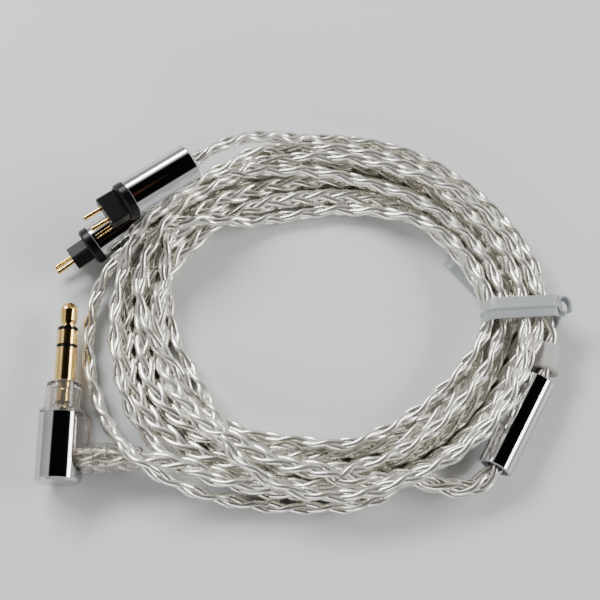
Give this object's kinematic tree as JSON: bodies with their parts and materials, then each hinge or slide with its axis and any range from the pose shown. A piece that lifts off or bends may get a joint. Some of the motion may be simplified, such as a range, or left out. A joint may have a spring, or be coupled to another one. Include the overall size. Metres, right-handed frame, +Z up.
{
  "type": "in-ear monitor cable",
  "caption": "Coiled silver braided in-ear monitor cable with right-angle stereo jack, Y-split, chin slider, two-pin ear connectors and a twist tie",
  "frame": {"origin": "on the floor under the middle of the bounding box", "axes": "+X along the coil's longer side, from the jack to the Y-split; +Y the way the jack's plug points; +Z up from the floor the coil lies on"},
  "size_m": [0.088, 0.0656, 0.0153],
  "materials": {
    "gold": "polished gold plate",
    "black_plastic": "satin black",
    "clear_moulding": "translucent warm grey",
    "chrome": "polished",
    "silver_braid": "silver strands under a clear jacket",
    "frosted_silicone": "frosted translucent",
    "tie_plastic": "matt grey",
    "tie_wire": "plain"
  },
  "bodies": {
    "cable": {"jack_tip": "gold", "jack_tip_insulator": "black_plastic", "jack_ring": "gold", "jack_ring_insulator": "black_plastic", "jack_sleeve": "gold", "jack_housing": "clear_moulding", "jack_shell": "chrome", "jack_arm_ring": "clear_moulding", "jack_boot": "clear_moulding", "jack_conductors": "silver_braid", "left_pin_block": "black_plastic", "left_contact_pins": "gold", "left_barrel": "chrome", "left_conductors": "silver_braid", "left_rear_sleeve": "clear_moulding", "right_pin_block": "black_plastic", "right_contact_pins": "gold", "right_barrel": "chrome", "right_conductors": "silver_braid", "right_rear_sleeve": "clear_moulding", "splitter_barrel": "chrome", "splitter_lower_insert": "black_plastic", "splitter_upper_insert": "black_plastic", "splitter_splice": "black_plastic", "tie_strip": "tie_plastic", "tie_wire": "tie_wire", "coil": "silver_braid", "main_lead": "silver_braid", "main_end": "silver_braid", "left_lead_start": "silver_braid", "right_lead_start": "silver_braid", "left_lead_end": "silver_braid", "right_lead_end": "silver_braid"},
    "slider": {"chin_slider": "frosted_silicone"}
  },
  "joints": [
    {"name": "slider_slide", "type": "slide", "parent": "cable", "child": "slider", "axis": [0.2924, 0.9563, 0], "range_m": [-0.0009, 0.0003]}
  ]
}
